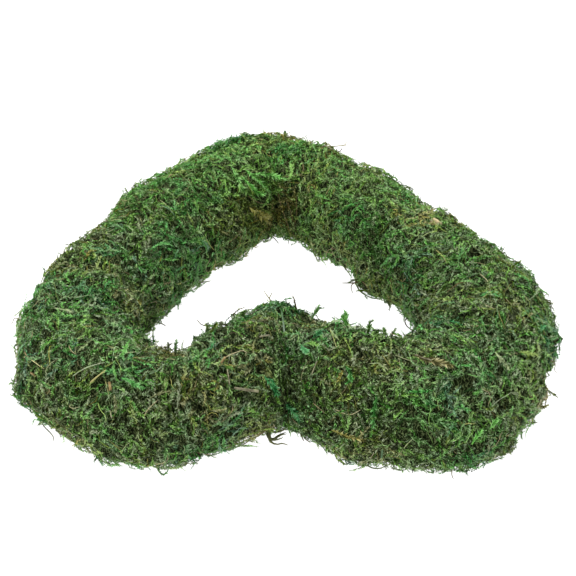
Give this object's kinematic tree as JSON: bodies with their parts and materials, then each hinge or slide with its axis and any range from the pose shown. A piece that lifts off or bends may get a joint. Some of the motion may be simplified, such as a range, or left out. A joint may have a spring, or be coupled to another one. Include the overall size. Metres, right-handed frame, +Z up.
{
  "type": "moss wreath",
  "caption": "Heart-shaped wreath of green sheet moss bound with thread round a straw form: an open ring that lies flat, or hangs, as a decoration.",
  "frame": {"origin": "middle of the wreath's bounding box, on the surface that it lies on", "axes": "+Z up out of the surface, +Y from the heart's cleft to its point, +X to the right seen from above with the point away"},
  "size_m": [0.3172, 0.3098, 0.0734],
  "materials": {
    "straw": "dry bound straw, matt",
    "moss_deep_green": "dyed, preserved sheet moss, matt",
    "moss_emerald": "dyed, preserved sheet moss, matt",
    "moss_olive": "dyed, preserved sheet moss, matt",
    "thread": "thin green nylon thread"
  },
  "bodies": {
    "root": {"straw_form": "straw", "moss_pad_01": "moss_deep_green", "moss_pad_02": "moss_emerald", "moss_pad_03": "moss_olive", "moss_pad_04": "moss_deep_green", "moss_pad_05": "moss_emerald", "moss_pad_06": "moss_olive", "moss_pad_07": "moss_deep_green", "moss_pad_08": "moss_emerald", "moss_pad_09": "moss_olive", "moss_pad_10": "moss_deep_green", "moss_pad_11": "moss_emerald", "moss_pad_12": "moss_olive", "binding_thread_01": "thread", "binding_thread_02": "thread", "binding_thread_03": "thread", "binding_thread_04": "thread", "binding_thread_05": "thread", "binding_thread_06": "thread", "binding_thread_07": "thread", "binding_thread_08": "thread", "binding_thread_09": "thread", "binding_thread_10": "thread", "binding_thread_11": "thread", "binding_thread_12": "thread"}
  },
  "joints": []
}
